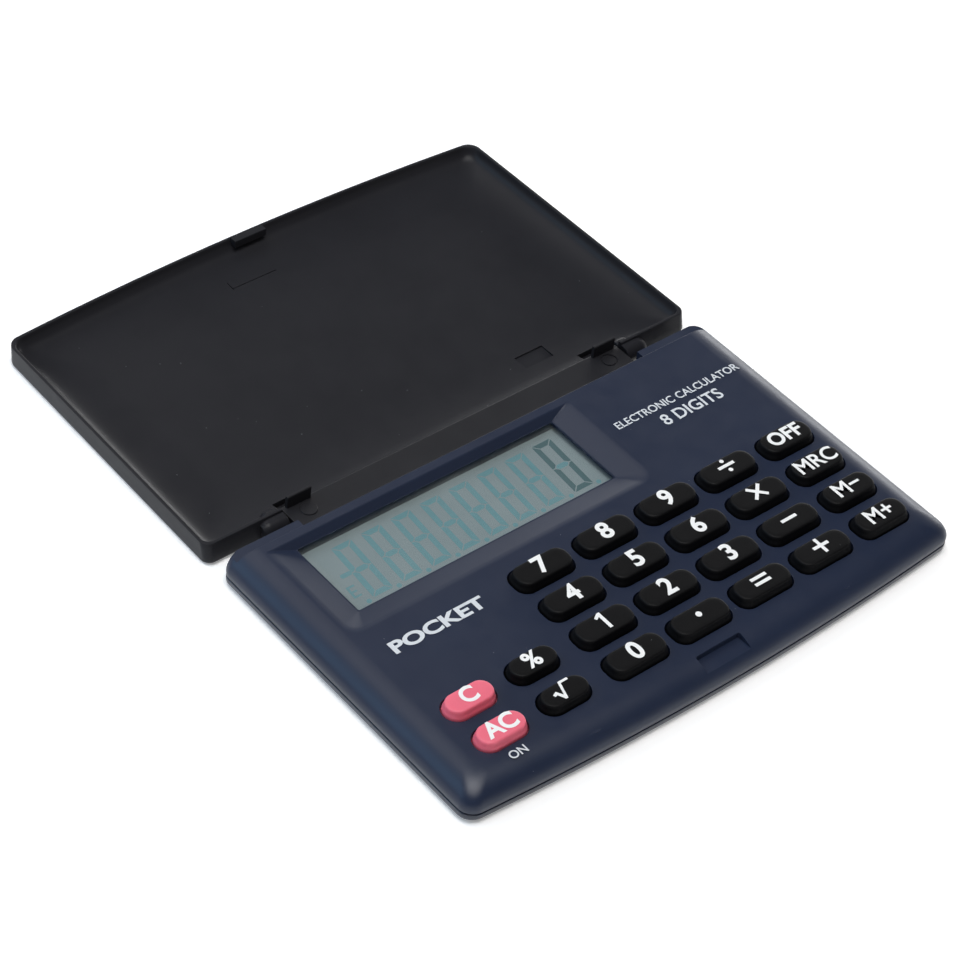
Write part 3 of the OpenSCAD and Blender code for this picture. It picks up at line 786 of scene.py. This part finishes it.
def plate_ring(x, size):
    """Section of the plate at x, shrunk about its middle to `size` times its own."""
    return upright([(hub[0] + (y - hub[0]) * size, hub[1] + (z - hub[1]) * size) for y, z in section], x)


hinge_plate = solid("hinge_plate_body", [
    plate_ring(-PLATE_HALF, 0.94), plate_ring(-PLATE_HALF + END_ROUND, 1),
    plate_ring(PLATE_HALF - END_ROUND, 1), plate_ring(PLATE_HALF, 0.94)])
PIN = 0.7
PIN_REACH = 2.6
pin_steps = [(PIN, PLATE_HALF - 1), (PIN, PLATE_HALF + PIN_REACH - 0.1),
             (PIN - 0.1, PLATE_HALF + PIN_REACH)]
pins = [solid("tool", [upright(disc(r, axis, 24), side * x) for r, x in pin_steps])
        for axis in (CASE_AXIS, COVER_AXIS) for side in (-1, 1)]
FIN_PLACES = (-29.8, 29.8)
FIN_HALF = 2.15
fin_profile = [(33.25, 2.5), (33.8, 2.5), (33.8, 5.05), (33.72, 5.17), (33.52, 5.2), (33.33, 5.17),
               (33.25, 5.05)]
fins = [solid("tool", [upright(fin_profile, x - FIN_HALF), upright(fin_profile, x + FIN_HALF)])
        for x in FIN_PLACES]
BUTTON_PLACE = (-29.3, 31.5)
button_steps = [(1.35, 2.8), (1.35, 3.1), (1.3, 3.15)]
button = solid("tool", [level(disc(r, BUTTON_PLACE, 40), z) for r, z in button_steps])
shape_with(hinge_plate, "UNION", [*pins, *fins, button])
GROOVE_PLACE = (29.5, 31.5)
GROOVE_DEEP = 0.15
groove = post(1.4, GROOVE_PLACE, PLATE_TOP - GROOVE_DEEP, 4, 40)
shape_with(groove, "DIFFERENCE", [post(1.1, GROOVE_PLACE, 2, 5, 40)])
shape_with(hinge_plate, "DIFFERENCE", [groove])
soften(hinge_plate)
fit(hinge_plate, plate_plastic, "hinge", "hinge_plastic", "hinge_plate")

# ---------------------------------------------------------------- cover
# The cover is a dished shell of black ABS: a flat middle whose border climbs gently to a thin upright
# rim. Knuckles beside the hinge plate turn on the plate's pins, and a small hook inside the far rim snaps
# into the case.
cover_plastic = moulded("cover plastic", (0.014, 0.014, 0.017, 1), (0.021, 0.021, 0.025, 1), 0.35,
                        constants={"Specular IOR Level": 0.13})
cover_high = corner_of("cover_shell", 1)
COVER_HALF = cover_high.x
COVER_NEAR = COVER_AXIS[0] - 0.2
COVER_FAR = cover_high.y
COVER_CORNER = 2.2
HINGE_CORNER = 1.5
HINGE_WIDTH = 1.006  # width at the hinge, as a share of the node's
TAPER = 0.016  # how much narrower the cover is at its far rim
RIM = 3.8
WIDEST = 0.9  # height at which the wall stands out farthest
RIM_LEAN = 0.7  # how far the hinge wall leans in at the rim
FOOT_LEAN = 0.3  # and at its foot
# how far the wall is drawn in at each height, up its outside and down the dish
outer_steps = [(1.0, 0), (0.6, 0.02), (0.38, 0.07), (0.2, 0.16), (0.08, 0.3), (0.02, 0.46), (0.0, 0.6),
               (0.0, WIDEST), (0.0, 1.8), (0.0, 2.8), (0.0, RIM - 0.1), (0.03, RIM - 0.03), (0.1, RIM)]
inner_steps = [(0.4, RIM), (0.5, RIM - 0.03), (0.56, RIM - 0.1), (0.7, 3.2), (0.88, 2.8), (1.15, 2.45),
               (1.5, 2.15), (2.05, 1.88), (2.9, 1.64), (4.0, 1.43), (5.4, 1.25), (7.2, 1.11), (9.0, 1.03),
               (10.8, 1.0)]


def cover_ring(inset, z):
    """Outline of the cover in mm, drawn in by `inset`; its hinge wall leans above and below its widest."""
    lean = RIM_LEAN * (z - WIDEST) / (RIM - WIDEST) if z > WIDEST else FOOT_LEAN * (1 - z / WIDEST)
    ring = plan(COVER_HALF - inset, COVER_NEAR + inset, COVER_FAR - inset - lean,
                corner=COVER_CORNER, far_corner=HINGE_CORNER)
    depth = COVER_FAR - COVER_NEAR
    return level([(x * (HINGE_WIDTH - TAPER * (COVER_FAR - y) / depth), COVER_NEAR + COVER_FAR - y)
                  for x, y in ring], z)


cover = solid("cover_dish", [cover_ring(*step) for step in outer_steps + inner_steps])
KNUCKLES = ((1.7, 0, 4.2), (1.2, 1.7, 2.6))  # radius, distance behind the axis, and length
knuckles = []
for side in (-1, 1):
    for radius, back, reach in KNUCKLES:
        steps = [(radius - 0.08, NOTCH_HALF), (radius, NOTCH_HALF + 0.1),
                 (radius, NOTCH_HALF + 0.7 * reach), (radius - 0.15, NOTCH_HALF + 0.87 * reach),
                 (radius - 0.5, NOTCH_HALF + reach)]
        middle = (COVER_AXIS[0] + back, COVER_AXIS[1])
        knuckles.append(solid("tool", [upright(disc(r, middle, 48), side * x) for r, x in steps]))
HOOK_HALF = 3.05
HOOK_NEAR = COVER_FAR - 2
HOOK_FAR = COVER_FAR - 0.5
HOOK_TOP = 4.2
hook_profile = [(HOOK_NEAR, RIM - 0.9), (HOOK_FAR, RIM - 0.9), (HOOK_FAR, HOOK_TOP - 0.1),
                (HOOK_FAR - 0.05, HOOK_TOP - 0.03), (HOOK_FAR - 0.15, HOOK_TOP),
                (HOOK_NEAR + 0.2, HOOK_TOP), (HOOK_NEAR + 0.06, HOOK_TOP - 0.05),
                (HOOK_NEAR, HOOK_TOP - 0.2)]
hook = solid("tool", [upright(hook_profile, -HOOK_HALF), upright(hook_profile, HOOK_HALF)])
shape_with(cover, "UNION", [*knuckles, hook])
PLAY = 0.3  # all round the plate and its fins
SKIN = 0.3  # floor left under the fins' rooms
plate_far = corner_of("hinge_plate", 1).y
plate_room = block((-NOTCH_HALF, COVER_AXIS[0] - 2.5, -1), (NOTCH_HALF, plate_far + PLAY, 6))
room_half = FIN_HALF + PLAY
fin_rooms = [block((x - room_half, COVER_AXIS[0], SKIN), (x + room_half, COVER_AXIS[0] + 4.1, 6))
             for x in FIN_PLACES]
panel = block((18.9, 38.8, 0.8), (24.5, 41.8, 2.8))
SCRIBE_LEFT = -8  # where two fine scribed lines cross, near the hook
SCRIBE_NEAR = 79.8
SCRIBE_WIDE = 0.13
SCRIBE_FLOOR = 0.9
scribed = [block((SCRIBE_LEFT, SCRIBE_NEAR, SCRIBE_FLOOR), (0.6, SCRIBE_NEAR + SCRIBE_WIDE, 1.4)),
           block((SCRIBE_LEFT, SCRIBE_NEAR - 0.3, SCRIBE_FLOOR), (SCRIBE_LEFT + SCRIBE_WIDE, 81.4, 1.4))]
shape_with(cover, "DIFFERENCE", [plate_room, *fin_rooms, panel, *scribed, *pin_bores(COVER_AXIS)])
soften(cover)
fit(cover, cover_plastic, "cover", "cover_plastic", "cover_shell")

# ---------------------------------------------------------------- inside
# The circuit board, the contact sheet, the cell and its two contacts fill the case, and four screws close
# it. They are the CAD's own solids, each in its real finish: solder mask, rubber, resin or plated metal.
GILT = ((0.55, 0.42, 0.18, 1), (0.68, 0.54, 0.26, 1))  # gold flash on the contacts
METAL = {"Metallic": 1.0}
INSIDE = {
    "circuit_board": ("green solder mask", (0.012, 0.09, 0.03, 1), (0.02, 0.14, 0.05, 1), 0.3, {}),
    "contact_sheet": ("grey contact rubber", (0.38, 0.40, 0.42, 1), (0.46, 0.48, 0.50, 1), 0.55, {}),
    "zebra_strip": ("pink connector rubber", (0.35, 0.07, 0.14, 1), (0.48, 0.12, 0.2, 1), 0.5, {}),
    "lcd_reflector": ("matt reflector foil", (0.5, 0.53, 0.52, 1), (0.6, 0.63, 0.62, 1), 0.35,
                      {"Metallic": 0.8}),
    "calculator_chip": ("black resin", (0.006, 0.006, 0.008, 1), (0.012, 0.012, 0.014, 1), 0.2, {}),
    "board_capacitors": ("tan ceramic", (0.35, 0.24, 0.13, 1), (0.46, 0.33, 0.19, 1), 0.4, {}),
    "button_cell": ("cell steel", (0.5, 0.51, 0.53, 1), (0.62, 0.63, 0.65, 1), 0.28, METAL),
    "cell_contact_plus": ("plated contact", *GILT, 0.3, METAL),
    "cell_contact_minus": ("plated strip", *GILT, 0.3, METAL),
    "case_screws": ("zinc plated steel", (0.30, 0.31, 0.33, 1), (0.44, 0.45, 0.47, 1), 0.32, METAL),
}
for node, (name, dark, light, gloss, constants) in INSIDE.items():
    refinish(node, moulded(name, dark, light, gloss, 0.2, 0.004, 0.0, constants))

# ---------------------------------------------------------------- studio
# A plain pale table carries the calculator, and isn't part of it. Large soft lamps stand over it, to the
# left and behind, with a low bright backdrop on the right, and the camera looks over the near left corner.
table_finish, paper, table_inputs = new_material("pale table", {
    "Specular IOR Level": 0.2, "Emission Color": (1, 1, 1, 1), "Emission Strength": 0.25})
shade = paper.noise(600, 2.0) * 0.7 + paper.noise(1.5) * 0.3
paper_colour = shade.between((0.92, 0.92, 0.92, 1), (0.97, 0.97, 0.97, 1))
paper.tree.links.new(paper_colour.socket, table_inputs["Base Color"])
paper.tree.links.new((paper.noise(2.0) * 0.1 + 0.6).socket, table_inputs["Roughness"])
TABLE = 3000
TABLE_THICK = 8
TABLE_BEVEL = 4
table = solid("table", [level(bar(TABLE, TABLE), -TABLE_THICK),
                        level(bar(TABLE - TABLE_BEVEL, TABLE - TABLE_BEVEL), 0)])
table.data.materials.append(table_finish)

world = bpy.data.worlds.new("studio")
bpy.context.scene.world = world
world.use_nodes = True
sky = world.node_tree
background = next(n for n in sky.nodes if n.type == "BACKGROUND")
direction = Tone(sky, sky.nodes.new("ShaderNodeTexCoord").outputs["Generated"])
height = direction.node("ShaderNodeSeparateXYZ", None, {0: direction}, 2)
greys = [(0.0, 0.65), (0.12, 0.5), (0.3, 0.26), (0.48, 0.12), (0.75, 0.08), (1.0, 0.12)]
stops = [(spot, (grey, grey, grey, 1)) for spot, grey in greys]
glow = height.node("ShaderNodeValToRGB", {"stops": stops}, {0: height})
sky.links.new(glow.socket, background.inputs["Color"])
background.inputs["Strength"].default_value = 1.0


def softbox(name, place, aim, size, power, colour):
    """Large soft lamp at `place`, turned to `aim`, in metres."""
    lamp = bpy.data.lights.new(name, "AREA")
    lamp.shape = "RECTANGLE"
    lamp.size, lamp.size_y = size
    lamp.energy = power
    lamp.color = colour
    holder = bpy.data.objects.new(name, lamp)
    holder.location = place
    holder.rotation_euler = (Vector(aim) - Vector(place)).to_track_quat("-Z", "Y").to_euler()
    bpy.context.scene.collection.objects.link(holder)


softbox("left sky light", (-1.05, 0.85, 0.95), (0, 0.02, 0), (1.4, 1.0), 7.5, (0.45, 0.72, 1.0))
softbox("key light", (-0.1, -0.08, 1.25), (0, 0.02, 0), (0.7, 0.7), 11, (1.0, 0.99, 0.98))
softbox("rear light", (0.1, 0.95, 1.05), (0, 0.02, 0), (0.9, 0.8), 3.2, (1.0, 0.98, 0.97))
softbox("right backdrop", (1.3, 0.78, 0.17), (0, 0, 0.05), (1.4, 0.32), 8, (1.0, 1.0, 1.0))

camera = bpy.data.cameras.new("camera")
camera.sensor_width = 36
camera.lens = 110.3
camera.clip_start = 0.01
viewpoint = bpy.data.objects.new("camera", camera)
viewpoint.location = (-0.22554, -0.20695, 0.30471)
viewpoint.rotation_euler = [math.radians(a) for a in (46.325, -4.878, -39.346)]
bpy.context.scene.collection.objects.link(viewpoint)
bpy.context.scene.camera = viewpoint
bpy.context.scene.view_settings.view_transform = "Standard"
